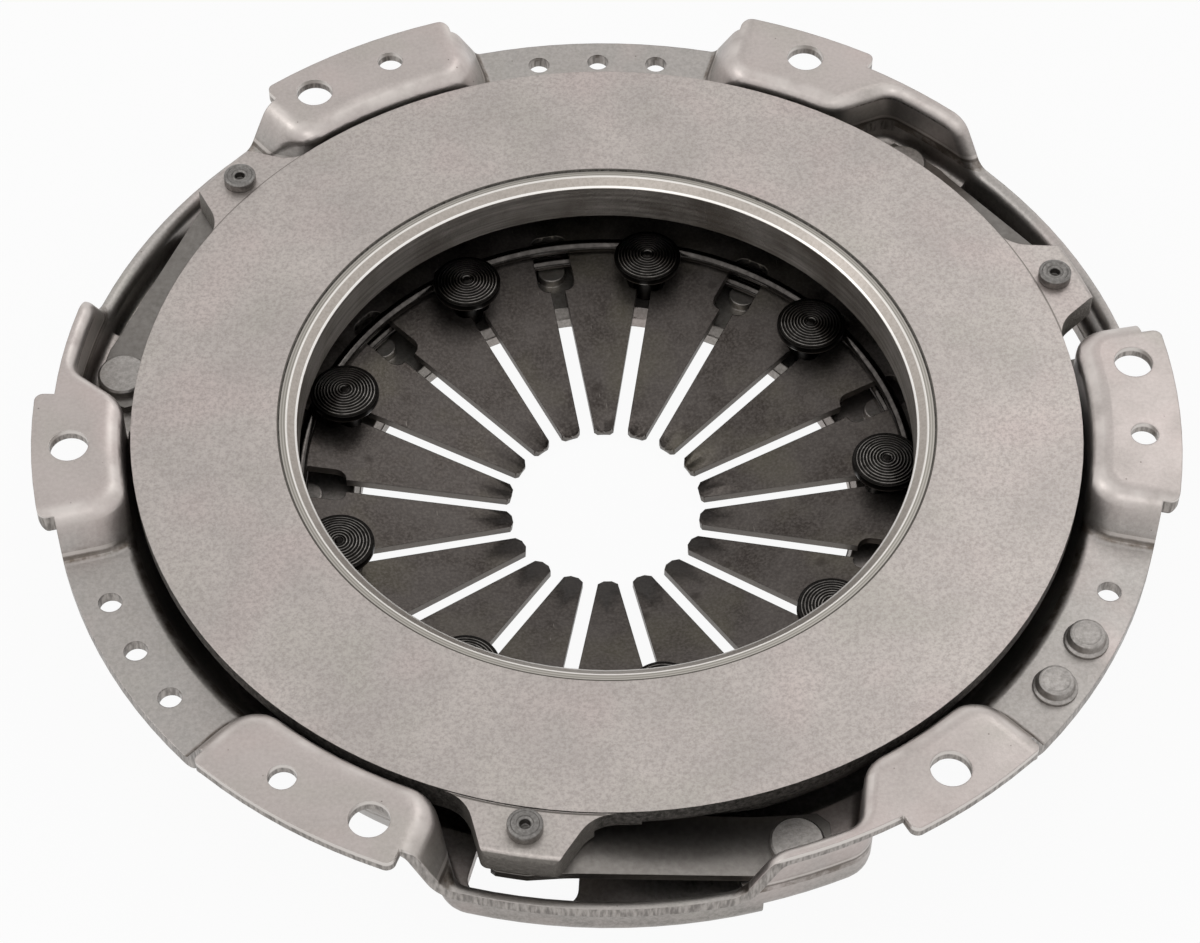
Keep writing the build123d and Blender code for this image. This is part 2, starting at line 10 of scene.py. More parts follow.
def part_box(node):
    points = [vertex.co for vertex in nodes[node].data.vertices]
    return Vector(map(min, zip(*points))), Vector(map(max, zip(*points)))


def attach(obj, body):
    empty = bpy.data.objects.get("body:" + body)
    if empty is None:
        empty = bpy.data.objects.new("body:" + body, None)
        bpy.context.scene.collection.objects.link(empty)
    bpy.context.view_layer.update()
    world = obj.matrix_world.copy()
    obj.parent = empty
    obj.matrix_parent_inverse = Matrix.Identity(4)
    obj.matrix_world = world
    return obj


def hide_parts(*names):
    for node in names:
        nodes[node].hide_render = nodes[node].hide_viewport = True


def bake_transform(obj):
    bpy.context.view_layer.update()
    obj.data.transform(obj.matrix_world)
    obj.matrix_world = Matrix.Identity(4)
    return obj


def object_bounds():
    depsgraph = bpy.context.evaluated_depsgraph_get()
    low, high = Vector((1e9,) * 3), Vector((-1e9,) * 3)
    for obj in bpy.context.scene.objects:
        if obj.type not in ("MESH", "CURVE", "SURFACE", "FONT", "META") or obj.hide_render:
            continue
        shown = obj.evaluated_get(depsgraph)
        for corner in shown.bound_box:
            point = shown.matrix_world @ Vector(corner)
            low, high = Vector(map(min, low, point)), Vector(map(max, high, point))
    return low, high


# Clutch pressure plate, laid face up. Blender's metres, in the same frame as the solids.
# Sizes in this file are millimetres until they reach a mesh.
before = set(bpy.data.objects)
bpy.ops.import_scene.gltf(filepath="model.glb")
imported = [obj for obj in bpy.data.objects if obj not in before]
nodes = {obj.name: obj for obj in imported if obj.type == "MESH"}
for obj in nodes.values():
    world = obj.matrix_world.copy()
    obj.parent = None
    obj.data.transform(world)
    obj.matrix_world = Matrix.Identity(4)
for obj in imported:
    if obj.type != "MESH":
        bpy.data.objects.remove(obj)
solid_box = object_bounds()

# ------------------------------------------------------------------ camera
# the camera's axes, and its place in millimetres
camera_right = (0.99426731, -0.10667184, 0.00732335)
camera_down = (-0.07933087, -0.78187988, -0.61836111)
camera_forward = (0.0716877, 0.61423527, -0.78585998)
camera_place = (-56.2052, -469.0006, 575.2182)

camera = bpy.data.objects.new("camera", bpy.data.cameras.new("camera"))
bpy.context.scene.collection.objects.link(camera)
camera.data.sensor_width = 36.0
camera.data.lens = 98.83
camera.data.clip_start = 0.01
turn = Matrix([camera_right, [-v for v in camera_down], [-v for v in camera_forward]]).transposed()
camera.matrix_world = Matrix.Translation([v / 1000 for v in camera_place]) @ turn.to_4x4()
bpy.context.scene.camera = camera
bpy.context.scene.view_settings.view_transform = "Standard"


# ------------------------------------------------------------------ shader helpers
def linear(code):
    """Linear RGBA of an sRGB hex colour: v/12.92 below 0.04045, else ((v+0.055)/1.055)^2.4."""
    shares = [int(code[i : i + 2], 16) / 255 for i in (1, 3, 5)]
    return [v / 12.92 if v <= 0.04045 else ((v + 0.055) / 1.055) ** 2.4 for v in shares] + [1.0]


def add(tree, kind, inputs=(), **settings):
    """Adds a shader node with its settings. inputs maps a socket's name or number to a value,
    an sRGB hex colour, a socket, or a node, whose shown output is meant.

    By number, a colour Mix has its share in 0 and its colours in 6 and 7, MapRange takes the
    value 0 from the range 1 to 2 into the range 3 to 4 (0 to 1 if unset), and COMPARE is 1
    where 0 lies within 2 of 1."""
    made = tree.nodes.new("ShaderNode" + kind)
    for name, value in settings.items():
        setattr(made, name, value)
    for place, value in dict(inputs).items():
        if isinstance(value, str):
            value = linear(value)
        if isinstance(value, bpy.types.Node):
            value = next(s for s in value.outputs if s.enabled)
        if isinstance(value, bpy.types.NodeSocket):
            tree.links.new(value, made.inputs[place])
        else:
            made.inputs[place].default_value = value
    return made


def bare_metal(name, roughness, edge_radius):
    """A metal's material, tree and shader, with sockets that say where a point is: its place,
    radius and height in millimetres, its angle in degrees, and how level its face is. The
    socket edge is a normal that rounds the edges by edge_radius, in millimetres."""
    material = bpy.data.materials.new(name)
    material.use_nodes = True
    tree = material.node_tree
    shader = tree.nodes["Principled BSDF"]
    shader.inputs["Metallic"].default_value = 1.0
    shader.inputs["Roughness"].default_value = roughness
    metres = add(tree, "TexCoord").outputs["Object"]
    point = add(tree, "VectorMath", {0: metres, 3: 1000.0}, operation="SCALE")
    flat = add(tree, "VectorMath", {0: point, 1: (1, 1, 0)}, operation="MULTIPLY")
    radius = add(tree, "VectorMath", {0: flat}, operation="LENGTH").outputs["Value"]
    axes = add(tree, "SeparateXYZ", {0: point})
    turned = add(tree, "Math", {0: axes.outputs[1], 1: axes.outputs[0]}, operation="ARCTAN2")
    angle = add(tree, "Math", {0: turned, 1: 180 / pi}, operation="MULTIPLY")
    normal = add(tree, "NewGeometry").outputs["Normal"]
    level = add(tree, "SeparateXYZ", {0: normal}).outputs[2]
    edge = add(tree, "Bevel", {"Radius": edge_radius / 1000}, samples=6)
    return SimpleNamespace(
        material=material,
        tree=tree,
        shader=shader,
        point=point,
        radius=radius,
        height=axes.outputs[2],
        angle=angle,
        level=level,
        edge=edge,
    )


def dressed(metal, colour, relief_height, strength, depth, rough=None):
    """The metal's material, with a colour, a relief over its rounded edges that is depth
    millimetres deep, and roughness of its own if rough is given."""
    tree, shader = metal.tree, metal.shader
    tree.links.new(colour.outputs[2], shader.inputs["Base Color"])
    if rough is not None:
        tree.links.new(rough.outputs[0], shader.inputs["Roughness"])
    relief = add(
        tree,
        "Bump",
        {
            "Strength": strength,
            "Distance": depth / 1000,
            "Height": relief_height,
            "Normal": metal.edge,
        },
    )
    tree.links.new(relief.outputs[0], shader.inputs["Normal"])
    return metal.material


# ------------------------------------------------------------------ cover: drawn steel sheet
# heights run down from the tops of the raised stretches, which are at 0
sheet = 3.0
low_flange_z = -10.5
# just inside the flange's punched outline, and outside every wall of the bowl
outline_r = 124.87
# middle of the flange, half its width there, and the reach of the low flange's small holes
flange_r = 119.2
flange_half = 6.5
small_hole_reach = 2.55


def drawn_sheet():
    """Cold-rolled low-carbon steel, deep drawn and pierced, then washed: a satin grey-beige
    skin with soft clouds and specks, painted shade down the bowl and in the creases at the
    feet, painted highlights on the crests and above the creases, and punched edges with a
    bright burnished top over a darker torn band."""
    metal = bare_metal("drawn_steel_sheet", 0.4, 0.5)
    tree, point, radius = metal.tree, metal.point, metal.radius
    height, level = metal.height, metal.level
    # clouds of oil and die contact about 16 mm across, and the sheet's grain about 0.9 mm
    clouds = add(
        tree, "TexNoise", {"Vector": point, "Scale": 1 / 16, "Detail": 5.0, "Roughness": 0.62}
    )
    grain = add(
        tree, "TexNoise", {"Vector": point, "Scale": 1 / 0.9, "Detail": 3.0, "Roughness": 0.7}
    )
    raised = add(
        tree,
        "MapRange",
        {0: height, 1: low_flange_z + 1.5, 2: -1.5},
        interpolation_type="SMOOTHSTEP",
    )
    face = add(tree, "Mix", {0: raised, 6: "#9C9894", 7: "#B1A8A4"}, data_type="RGBA")
    # painted shade: the bowl darkens inside and further down
    painted_depth_shade = add(tree, "MapRange", {0: height, 1: low_flange_z - 2, 2: -18.0, 3: 0.0, 4: 0.8})
    face = add(tree, "Mix", {0: painted_depth_shade, 6: face, 7: "#716D68"}, data_type="RGBA")
    cloud_share = add(tree, "MapRange", {0: clouds, 1: 0.38, 2: 0.68, 3: 0.0, 4: 0.45})
    face = add(tree, "Mix", {0: cloud_share, 6: face, 7: "#9B9590"}, data_type="RGBA")
    # pink and green casts of the wash, each in its own clouds
    cast = add(
        tree,
        "TexNoise",
        {"Vector": point, "Scale": 1 / 22, "Detail": 2.0, "W": 7.0},
        noise_dimensions="4D",
    )
    pink = add(tree, "MapRange", {0: cast, 1: 0.52, 2: 0.7, 3: 0.0, 4: 0.4})
    face = add(tree, "Mix", {0: pink, 6: face, 7: "#BDACA8"}, data_type="RGBA")
    green = add(tree, "MapRange", {0: cast, 1: 0.45, 2: 0.3, 3: 0.0, 4: 0.3})
    face = add(tree, "Mix", {0: green, 6: face, 7: "#A2A197"}, data_type="RGBA")
    grain_share = add(tree, "MapRange", {0: grain, 1: 0.36, 2: 0.66, 3: 0.0, 4: 0.3})
    face = add(tree, "Mix", {0: grain_share, 6: face, 7: "#C9C1BD"}, data_type="RGBA")
    # painted shade in the creases at the feet of the raised stretches, above the bowl's rim, in
    # noisy patches
    foot = add(tree, "MapRange", {0: height, 1: low_flange_z + 2.9, 2: low_flange_z + 0.4})
    tilted = add(tree, "MapRange", {0: level, 1: 0.985, 2: 0.9})
    painted_crease_shade = add(
        tree, "TexNoise", {"Vector": point, "Scale": 1 / 4.5, "Detail": 4.0, "Roughness": 0.7}
    )
    painted_crease_shade = add(tree, "MapRange", {0: painted_crease_shade, 1: 0.34, 2: 0.6})
    low_end = add(tree, "Math", {0: height, 1: low_flange_z - 1.2}, operation="GREATER_THAN")
    foot = add(tree, "Math", {0: foot, 1: low_end}, operation="MULTIPLY")
    painted_crease_shade = add(tree, "Math", {0: painted_crease_shade, 1: foot}, operation="MULTIPLY")
    painted_crease_shade = add(tree, "Math", {0: painted_crease_shade, 1: tilted}, operation="MULTIPLY", use_clamp=True)
    face = add(tree, "Mix", {0: painted_crease_shade, 6: face, 7: "#6E655D"}, data_type="RGBA")
    # along each foot, where the die struck a crease 0.6 mm high, a painted dark shade line, with a
    # painted highlight on the facet above it
    outer = add(tree, "MapRange", {0: radius, 1: 113.0, 2: 116.0})
    for rise, reach, colour in ((0.75, 0.3, "#5F5852"), (1.6, 0.35, "#C5BEB9")):
        painted_crease_line = {0: height, 1: low_flange_z + rise, 2: reach}
        painted_crease_line = add(tree, "Math", painted_crease_line, operation="COMPARE")
        painted_crease_line = add(tree, "Math", {0: painted_crease_line, 1: tilted}, operation="MULTIPLY")
        painted_crease_line = add(tree, "Math", {0: painted_crease_line, 1: 0.7}, operation="MULTIPLY", use_clamp=True)
        painted_crease_line = add(tree, "Math", {0: painted_crease_line, 1: outer}, operation="MULTIPLY")
        face = add(tree, "Mix", {0: painted_crease_line, 6: face, 7: colour}, data_type="RGBA")
    # painted highlight on the crests of the raised stretches, in patches 7 mm across
    painted_crest_highlight = add(tree, "MapRange", {0: height, 1: -4.5, 2: -0.6})
    bent = add(tree, "MapRange", {0: level, 1: 0.995, 2: 0.93})
    highlight_patches = add(
        tree, "TexNoise", {"Vector": point, "Scale": 1 / 7, "Detail": 3.0, "Roughness": 0.5}
    )
    highlight_patches = add(tree, "MapRange", {0: highlight_patches, 1: 0.36, 2: 0.62, 3: 0.1, 4: 0.75})
    painted_crest_highlight = add(tree, "Math", {0: painted_crest_highlight, 1: bent}, operation="MULTIPLY")
    painted_crest_highlight = add(tree, "Math", {0: painted_crest_highlight, 1: highlight_patches}, operation="MULTIPLY", use_clamp=True)
    face = add(tree, "Mix", {0: painted_crest_highlight, 6: face, 7: "#D2CBC6"}, data_type="RGBA")
    # specks of scale pressed in at the die, one every few millimetres
    specks = add(tree, "TexVoronoi", {"Vector": point, "Scale": 1 / 5.0, "Randomness": 1.0})
    speck_share = add(tree, "MapRange", {0: specks, 1: 0.05, 2: 0.03, 3: 0.0, 4: 0.6})
    face = add(tree, "Mix", {0: speck_share, 6: face, 7: "#57504B"}, data_type="RGBA")
    # punched edges, round the flange and in the holes of both its levels: upright streaks
    # 0.7 mm wide, bright where the punch rubbed the top third
    upright = add(tree, "Math", {0: level, 1: 0.0, 2: 0.15}, operation="COMPARE")
    shear = add(tree, "Math", {0: radius, 1: outline_r}, operation="GREATER_THAN")
    for top_z, reach in ((0.0, flange_half), (low_flange_z, small_hole_reach)):
        in_sheet = {0: height, 1: top_z - sheet / 2, 2: sheet / 2 + 0.1}
        in_sheet = add(tree, "Math", in_sheet, operation="COMPARE")
        in_ring = add(tree, "Math", {0: radius, 1: flange_r, 2: reach}, operation="COMPARE")
        holes = add(tree, "Math", {0: in_sheet, 1: in_ring}, operation="MULTIPLY")
        shear = add(tree, "Math", {0: shear, 1: holes}, operation="MAXIMUM")
    shear = add(tree, "Math", {0: shear, 1: upright}, operation="MULTIPLY")
    drawn_out = add(tree, "VectorMath", {0: point, 1: (1.0, 1.0, 0.22)}, operation="MULTIPLY")
    torn = add(tree, "TexNoise", {"Vector": drawn_out, "Scale": 1 / 0.7, "Detail": 2.0})
    torn = add(tree, "MapRange", {0: torn, 1: 0.35, 2: 0.65})
    torn_face = add(tree, "Mix", {0: torn, 6: "#77726E", 7: "#A7A19C"}, data_type="RGBA")
    burnished_pad = add(tree, "MapRange", {0: height, 1: -1.5, 2: -1.1})
    burnished = add(tree, "Mix", {0: burnished_pad, 6: torn_face, 7: "#CFC9C4"}, data_type="RGBA")
    face = add(tree, "Mix", {0: shear, 6: face, 7: burnished}, data_type="RGBA")
    rough = add(tree, "MapRange", {0: clouds, 1: 0.3, 2: 0.7, 3: 0.33, 4: 0.47})
    return dressed(metal, face, grain, 0.14, 0.2, rough)


# ------------------------------------------------------------------ pressure plate: grey iron
# radii and heights where the turned steps end, as the solid has them
face_inner_r = 74.4
step_r = 72.6
bore_r = 70.3
bore_foot_z = -13.9
lug_turned_r = 107.5
machined_z = -4.6


def ground_iron():
    """Sand-cast grey iron with a turned and ground friction face: the face is pale with fine
    grain and soft clouds, the step and chamfer at the bore keep the tool's stripes, and what
    the tools left alone is dark and gritty."""
    metal = bare_metal("ground_grey_iron", 0.42, 0.3)
    tree, point, radius, height = metal.tree, metal.point, metal.radius, metal.height
    # graphite flecks about 0.8 mm, clouds about 30 mm, faint turning marks 0.5 mm apart
    clouds = add(
        tree, "TexNoise", {"Vector": point, "Scale": 1 / 30, "Detail": 5.0, "Roughness": 0.6}
    )
    grain = add(
        tree, "TexNoise", {"Vector": point, "Scale": 1 / 0.8, "Detail": 3.0, "Roughness": 0.75}
    )
    arc = add(tree, "Math", {0: metal.angle, 1: 0.1}, operation="MULTIPLY")
    round_point = add(tree, "CombineXYZ", {0: radius, 1: arc})
    marks = add(tree, "TexNoise", {"Vector": round_point, "Scale": 1 / 0.5, "Detail": 2.0})
    shade = add(tree, "MapRange", {0: clouds, 1: 0.32, 2: 0.68})
    face = add(tree, "Mix", {0: shade, 6: "#ADA6A2", 7: "#BFB7B2"}, data_type="RGBA")
    # pink and green casts in clouds of their own
    cast = add(
        tree,
        "TexNoise",
        {"Vector": point, "Scale": 1 / 24, "Detail": 2.0, "W": 3.0},
        noise_dimensions="4D",
    )
    pink = add(tree, "MapRange", {0: cast, 1: 0.52, 2: 0.7, 3: 0.0, 4: 0.45})
    face = add(tree, "Mix", {0: pink, 6: face, 7: "#C2B2AF"}, data_type="RGBA")
    green = add(tree, "MapRange", {0: cast, 1: 0.46, 2: 0.3, 3: 0.0, 4: 0.35})
    face = add(tree, "Mix", {0: green, 6: face, 7: "#ABA99F"}, data_type="RGBA")
    mark_share = add(tree, "MapRange", {0: marks, 1: 0.3, 2: 0.7, 3: 0.0, 4: 0.16})
    face = add(tree, "Mix", {0: mark_share, 6: face, 7: "#989089"}, data_type="RGBA")
    grain_share = add(tree, "MapRange", {0: grain, 1: 0.4, 2: 0.66, 3: 0.0, 4: 0.6})
    face = add(tree, "Mix", {0: grain_share, 6: face, 7: "#8F8884"}, data_type="RGBA")
    # short handling nicks, a few millimetres long and far apart
    stretched = add(tree, "VectorMath", {0: point, 1: (0.09, 0.55, 0.3)}, operation="MULTIPLY")
    nicks = add(tree, "TexVoronoi", {"Vector": stretched, "Scale": 0.9, "Randomness": 1.0})
    nick_share = add(tree, "MapRange", {0: nicks, 1: 0.035, 2: 0.02, 3: 0.0, 4: 0.5})
    face = add(tree, "Mix", {0: nick_share, 6: face, 7: "#7C756F"}, data_type="RGBA")
    # the step inside the face: a dark line at its foot, then grey-green stripes 0.6 mm apart
    stripes = add(tree, "Math", {0: radius, 1: 2 * pi / 0.6}, operation="MULTIPLY")
    stripes = add(tree, "Math", {0: stripes}, operation="SINE")
    stripes = add(tree, "MapRange", {0: stripes, 1: -1.0, 2: 1.0})
    band = add(tree, "Mix", {0: stripes, 6: "#8A867F", 7: "#ADA8A1"}, data_type="RGBA")
    line = add(tree, "Math", {0: radius, 1: face_inner_r, 2: 0.28}, operation="COMPARE")
    band = add(tree, "Mix", {0: line, 6: band, 7: "#5B5752"}, data_type="RGBA")
    inside = add(tree, "Math", {0: radius, 1: face_inner_r + 0.28}, operation="LESS_THAN")
    face = add(tree, "Mix", {0: inside, 6: face, 7: band}, data_type="RGBA")
    # the chamfer down to the bore is cream, with a painted highlight line at either edge
    chamfer = add(tree, "Math", {0: radius, 1: step_r}, operation="LESS_THAN")
    cream = add(tree, "Mix", {0: grain_share, 6: "#B3ABA4", 7: "#989189"}, data_type="RGBA")
    face = add(tree, "Mix", {0: chamfer, 6: face, 7: cream}, data_type="RGBA")
    for at, colour in ((step_r, "#DDD9D4"), (bore_r + 0.25, "#EDEAE6")):
        painted_edge_highlight = add(tree, "Math", {0: radius, 1: at, 2: 0.22}, operation="COMPARE")
        face = add(tree, "Mix", {0: painted_edge_highlight, 6: face, 7: colour}, data_type="RGBA")
    # one turned line across each lug
    scribed = add(tree, "Math", {0: radius, 1: lug_turned_r + 0.35, 2: 0.2}, operation="COMPARE")
    face = add(tree, "Mix", {0: scribed, 6: face, 7: "#827C77"}, data_type="RGBA")
    # cast skin: sand grit about 1 mm, with lighter rubbed tops
    grit = add(
        tree, "TexNoise", {"Vector": point, "Scale": 1 / 1.0, "Detail": 4.0, "Roughness": 0.7}
    )
    skin_share = add(tree, "MapRange", {0: grit, 1: 0.35, 2: 0.68})
    skin = add(tree, "Mix", {0: skin_share, 6: "#3A3835", 7: "#74706C"}, data_type="RGBA")
    # the lugs' outer sides are lighter
    lug_side_share = add(tree, "MapRange", {0: radius, 1: 108.2, 2: 109.2, 3: 0.0, 4: 0.55})
    skin = add(tree, "Mix", {0: lug_side_share, 6: skin, 7: "#8A857F"}, data_type="RGBA")
    # the bore was turned too, in rings 0.9 mm apart, and has dulled in patches
    arc = add(tree, "Math", {0: metal.angle, 1: 0.05}, operation="MULTIPLY")
    rings = add(tree, "CombineXYZ", {0: height, 1: arc})
    rings = add(tree, "TexNoise", {"Vector": rings, "Scale": 1 / 0.9, "Detail": 3.0})
    rings = add(tree, "MapRange", {0: rings, 1: 0.3, 2: 0.7})
    turned_wall = add(tree, "Mix", {0: rings, 6: "#78736E", 7: "#A09A94"}, data_type="RGBA")
    dull = add(tree, "MapRange", {0: clouds, 1: 0.42, 2: 0.6, 3: 0.0, 4: 0.7})
    turned_wall = add(tree, "Mix", {0: dull, 6: turned_wall, 7: "#574F47"}, data_type="RGBA")
    bore = add(tree, "Math", {0: radius, 1: bore_r + 0.2}, operation="LESS_THAN")
    above = add(tree, "Math", {0: height, 1: bore_foot_z}, operation="GREATER_THAN")
    bore = add(tree, "Math", {0: bore, 1: above}, operation="MULTIPLY")
    skin = add(tree, "Mix", {0: bore, 6: skin, 7: turned_wall}, data_type="RGBA")
    # level faces above machined_z were cut; they are smoother, and the grit hardly shows there
    machined = {0: metal.level, 1: 0.55, 2: 0.7}
    machined = add(tree, "MapRange", machined, interpolation_type="SMOOTHSTEP")
    high = add(tree, "MapRange", {0: height, 1: machined_z, 2: machined_z + 0.3})
    machined = add(tree, "Math", {0: machined, 1: high}, operation="MULTIPLY")
    colour = add(tree, "Mix", {0: machined, 6: skin, 7: face}, data_type="RGBA")
    rough = add(tree, "MapRange", {0: machined, 3: 0.6, 4: 0.42})
    depth = add(tree, "MapRange", {0: machined, 3: 1.0, 4: 0.05})
    relief_height = add(tree, "Math", {0: grit, 1: depth}, operation="MULTIPLY")
    return dressed(metal, colour, relief_height, 0.7, 0.6, rough)


# ------------------------------------------------------------------ spring: hardened steel
def tempered_spring():
    """Hardened and tempered chrome-vanadium strip, shot-peened and oiled: dark brown-grey with
    a low sheen, blotches and drips of oil, fine scratches and lighter slot walls."""
    metal = bare_metal("tempered_spring_steel", 0.42, 0.3)
    tree, point = metal.tree, metal.point
    # blotches about 12 mm across, and the marks of the shot about 0.7 mm
    blotch = add(
        tree, "TexNoise", {"Vector": point, "Scale": 1 / 12, "Detail": 6.0, "Roughness": 0.65}
    )
    peen = add(
        tree, "TexNoise", {"Vector": point, "Scale": 1 / 0.7, "Detail": 2.0, "Roughness": 0.6}
    )
    share = add(tree, "MapRange", {0: blotch, 1: 0.32, 2: 0.68})
    colour = add(tree, "Mix", {0: share, 6: "#3B3633", 7: "#585350"}, data_type="RGBA")
    # olive film of old oil in some clouds
    film = add(
        tree,
        "TexNoise",
        {"Vector": point, "Scale": 1 / 17, "Detail": 2.0, "W": 5.0},
        noise_dimensions="4D",
    )
    film = add(tree, "MapRange", {0: film, 1: 0.5, 2: 0.68, 3: 0.0, 4: 0.55})
    colour = add(tree, "Mix", {0: film, 6: colour, 7: "#575348"}, data_type="RGBA")
    peen_share = add(tree, "MapRange", {0: peen, 1: 0.4, 2: 0.7, 3: 0.0, 4: 0.35})
    colour = add(tree, "Mix", {0: peen_share, 6: colour, 7: "#756F6A"}, data_type="RGBA")
    # dark drips a few millimetres across
    drips = add(tree, "TexVoronoi", {"Vector": point, "Scale": 1 / 11, "Randomness": 1.0})
    drips = add(tree, "MapRange", {0: drips, 1: 0.16, 2: 0.06, 3: 0.0, 4: 0.55})
    colour = add(tree, "Mix", {0: drips, 6: colour, 7: "#322D2A"}, data_type="RGBA")
    # fine scratches, about 0.5 mm wide and 8 mm long
    stretched = add(tree, "VectorMath", {0: point, 1: (0.5, 0.06, 0.2)}, operation="MULTIPLY")
    scratches = add(tree, "TexVoronoi", {"Vector": stretched, "Scale": 0.9, "Randomness": 1.0})
    scratches = add(tree, "MapRange", {0: scratches, 1: 0.05, 2: 0.03, 3: 0.0, 4: 0.5})
    colour = add(tree, "Mix", {0: scratches, 6: colour, 7: "#8C8680"}, data_type="RGBA")
    # stamped slot walls are lighter than the faces
    upright = add(tree, "MapRange", {0: metal.level, 1: 0.3, 2: 0.1, 3: 0.0, 4: 0.55})
    colour = add(tree, "Mix", {0: upright, 6: colour, 7: "#7B7671"}, data_type="RGBA")
    rough = add(tree, "MapRange", {0: blotch, 1: 0.3, 2: 0.7, 3: 0.33, 4: 0.5})
    return dressed(metal, colour, peen, 0.25, 0.2, rough)


def worked_steel(name, dark, light, roughness, grain_size, bump):
    """Bare steel that was only turned, drawn, rolled or headed: two near tones in a fine
    grain of the given size in millimetres, scuffed in patches of 5 mm, with a slight relief."""
    metal = bare_metal(name, roughness, 0.25)
    tree, point = metal.tree, metal.point
    grain = {"Vector": point, "Scale": 1 / grain_size, "Detail": 4.0, "Roughness": 0.65}
    grain = add(tree, "TexNoise", grain)
    share = add(tree, "MapRange", {0: grain, 1: 0.3, 2: 0.7})
    colour = add(tree, "Mix", {0: share, 6: dark, 7: light}, data_type="RGBA")
    scuff = add(
        tree, "TexNoise", {"Vector": point, "Scale": 1 / 5, "Detail": 3.0, "Roughness": 0.7}
    )
    scuff = add(tree, "MapRange", {0: scuff, 1: 0.52, 2: 0.72, 3: 0.0, 4: 0.5})
    colour = add(tree, "Mix", {0: scuff, 6: colour, 7: dark}, data_type="RGBA")
    return dressed(metal, colour, grain, bump, 0.2)


cover_steel = drawn_sheet()
plate_iron = ground_iron()
spring_steel = tempered_spring()
# blackened by phosphating after turning: nearly black; the thin glints on its grooves are painted
# with the lighter steel below
black_rivet_steel = worked_steel("phosphated_turned_steel", "#121110", "#242220", 0.3, 0.8, 0.1)
# painted glints: a lighter steel on the crests of the grooves and on the rim's corner
painted_glint_rivet_steel = worked_steel("painted_glint_turned_steel", "#4B4845", "#8A8682", 0.24, 1.6, 0.05)
# cold-headed and left bare, with a crushed satin face
headed_steel = worked_steel("cold_headed_steel", "#8C8884", "#AEA9A5", 0.45, 0.9, 0.35)
# lug rivets are headed with a hollow punch and stay greyer
hollow_rivet_steel = worked_steel("hollow_headed_steel", "#666360", "#8A8784", 0.4, 0.7, 0.3)
# hard-drawn spring wire, smooth and oiled
wire_steel = worked_steel("drawn_ring_wire", "#3B3836", "#5D5956", 0.2, 1.6, 0.04)
# cold-rolled spring strip
strap_steel = worked_steel("rolled_spring_strip", "#6C6864", "#7E7A76", 0.34, 1.5, 0.06)


# ------------------------------------------------------------------ meshes
def surface(name, grid):
    """Mesh of a surface whose points are grid[i, j], closed round the second direction."""
    rows, columns = grid.shape[:2]
    here = np.arange(rows * columns).reshape(rows, columns)
    following = np.roll(here, -1, axis=1)
    faces = np.stack([here[:-1], following[:-1], following[1:], here[1:]], axis=-1).reshape(-1, 4)
    mesh = bpy.data.meshes.new(name)
    mesh.from_pydata(grid.reshape(-1, 3) / 1000, [], faces.tolist())
    work = bmesh.new()
    work.from_mesh(mesh)
    bmesh.ops.remove_doubles(work, verts=work.verts, dist=1e-6)
    bmesh.ops.recalc_face_normals(work, faces=work.faces)
    work.to_mesh(mesh)
    work.free()
    mesh.shade_smooth()
    mesh.set_sharp_from_angle(angle=radians(40))
    made = bpy.data.objects.new(name, mesh)
    bpy.context.scene.collection.objects.link(made)
    return made


def turned(name, profile, centre, around=96):
    """Surface of revolution: (r cos t, r sin t, h) about an upright axis through centre, for each
    (r, h) of the profile and t all the way round."""
    profile = np.array(profile, float)
    t = np.linspace(0, 2 * pi, around, endpoint=False)
    grid = np.empty((len(profile), around, 3))
    grid[..., 0] = centre[0] + profile[:, :1] * np.cos(t)
    grid[..., 1] = centre[1] + profile[:, :1] * np.sin(t)
    grid[..., 2] = profile[:, 1:]
    return surface(name, grid)


def softened(corners, radius, steps=4):
    """Profile with each inner corner cut by a parabola that starts and ends radius from it."""
    corners = np.array(corners, float)
    out = [corners[0]]
    for before, corner, after in zip(corners, corners[1:], corners[2:]):
        arms = [before - corner, after - corner]
        reach = min(radius, *(np.linalg.norm(a) * 0.45 for a in arms))
        start, end = (corner + a / np.linalg.norm(a) * reach for a in arms)
        for s in np.linspace(0, 1, steps + 1):
            out.append((1 - s) ** 2 * start + 2 * s * (1 - s) * corner + s**2 * end)
    out.append(corners[-1])
    return out


def middle_of(node):
    """Centre in plan and lowest and highest height of a node, in millimetres."""
    low, high = (v * 1000 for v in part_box(node))
    return ((low.x + high.x) / 2, (low.y + high.y) / 2), low.z, high.z


def merged_copy(names):
    """Working mesh of the named nodes' solids, each with its loose triangles joined."""
    work = bmesh.new()
    for name in names:
        work.from_mesh(nodes[name].data)
    bmesh.ops.remove_doubles(work, verts=work.verts, dist=1e-6)
    return work


def cut_across(work, origin, direction, stations):
    """Cuts a working mesh along planes across a direction, at each distance from the origin in
    millimetres, so that it can bend there."""
    for station in stations:
        geometry = work.verts[:] + work.edges[:] + work.faces[:]
        place = (Vector(origin) + Vector(direction) * station) / 1000
        bmesh.ops.bisect_plane(work, geom=geometry, dist=1e-7, plane_co=place, plane_no=direction)


def finished(work, name):
    """Object of a working mesh, smooth but for its corners."""
    mesh = bpy.data.meshes.new(name)
    work.to_mesh(mesh)
    work.free()
    mesh.shade_smooth()
    mesh.set_sharp_from_angle(angle=radians(30))
    made = bpy.data.objects.new(name, mesh)
    bpy.context.scene.collection.objects.link(made)
    return made


